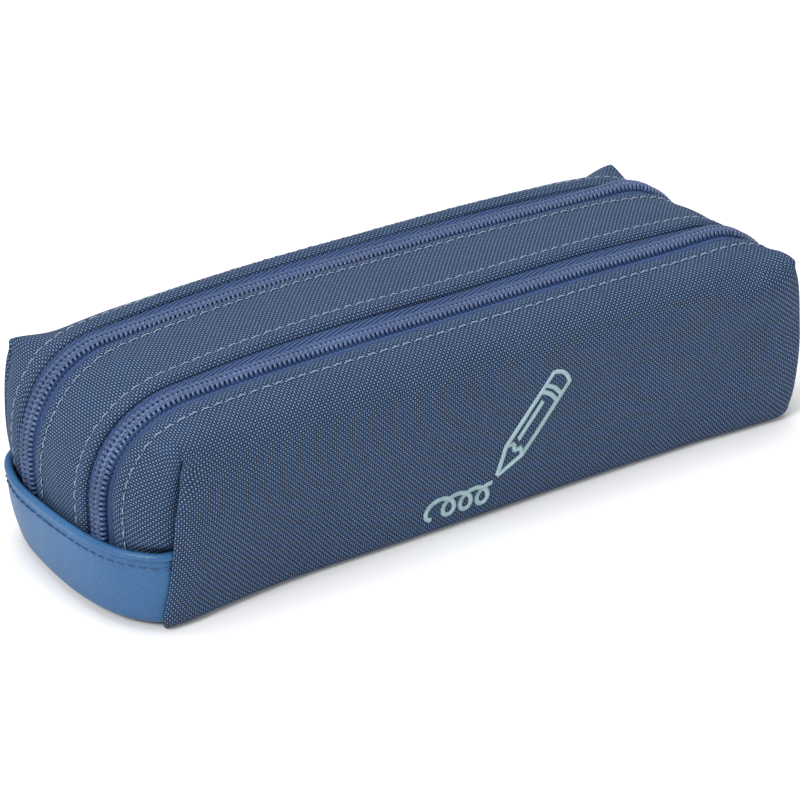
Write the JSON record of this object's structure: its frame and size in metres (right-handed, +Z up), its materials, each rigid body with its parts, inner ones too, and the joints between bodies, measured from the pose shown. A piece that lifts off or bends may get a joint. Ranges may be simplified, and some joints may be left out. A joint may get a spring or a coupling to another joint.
{
  "type": "pencil case",
  "caption": "Long boxy cloth pencil case with two compartments, each closed by a coil zip that runs over the top and down both ends, and a leather-like tab across one end.",
  "frame": {"origin": "middle of the flat underside", "axes": "+X along the case away from the end with the tab, -Y the front with the embroidered sign, +Z up"},
  "size_m": [0.2286, 0.08, 0.0587],
  "materials": {
    "navy_cloth": "plain-weave polyester, matt with a slight sheen",
    "lining_cloth": "thin plain-weave polyester lining",
    "zip_tape": "twill polyester tape",
    "zip_coil": "nylon coil, satin",
    "slider_metal": "enamelled zinc",
    "tab_leather": "fine-grained coated leather cloth, satin",
    "tab_thread": "polyester sewing thread",
    "top_thread": "polyester sewing thread",
    "sign_thread": "rayon embroidery thread, satin"
  },
  "bodies": {
    "case": {"front_panel": "navy_cloth", "rear_panel": "navy_cloth", "base_panel": "navy_cloth", "centre_strip": "navy_cloth", "divider": "lining_cloth", "front_lining": "lining_cloth", "rear_lining": "lining_cloth", "end_tab": "tab_leather", "end_tab_backing": "lining_cloth", "end_tab_stitching": "tab_thread", "front_panel_stitching": "top_thread", "strip_front_stitching": "top_thread", "strip_rear_stitching": "top_thread", "rear_panel_stitching": "top_thread", "embroidered_sign": "sign_thread", "front_zip_tape_outer": "zip_tape", "front_zip_tape_inner": "zip_tape", "front_zip_coil_outer": "zip_coil", "front_zip_coil_inner": "zip_coil", "rear_zip_tape_outer": "zip_tape", "rear_zip_tape_inner": "zip_tape", "rear_zip_coil_outer": "zip_coil", "rear_zip_coil_inner": "zip_coil"},
    "front_slider": {"front_slider": "slider_metal", "front_slider_bridge": "slider_metal"},
    "front_pull": {"front_pull": "slider_metal"},
    "rear_slider": {"rear_slider": "slider_metal", "rear_slider_bridge": "slider_metal"},
    "rear_pull": {"rear_pull": "slider_metal"}
  },
  "joints": [
    {"name": "front_zip", "type": "hinge", "parent": "case", "child": "front_slider", "pos_m": [0.082, -0.0193, 0.02763], "axis": [0, -1, 0], "range_deg": [0, 60]},
    {"name": "front_pull_swing", "type": "hinge", "parent": "front_slider", "child": "front_pull", "pos_m": [0.1132, -0.0193, 0.03426], "axis": [0, -1, 0], "range_deg": [0, 170]},
    {"name": "rear_zip", "type": "hinge", "parent": "case", "child": "rear_slider", "pos_m": [0.082, 0.0193, 0.02763], "axis": [0, -1, 0], "range_deg": [0, 60]},
    {"name": "rear_pull_swing", "type": "hinge", "parent": "rear_slider", "child": "rear_pull", "pos_m": [0.1132, 0.0193, 0.03426], "axis": [0, -1, 0], "range_deg": [0, 170]}
  ]
}
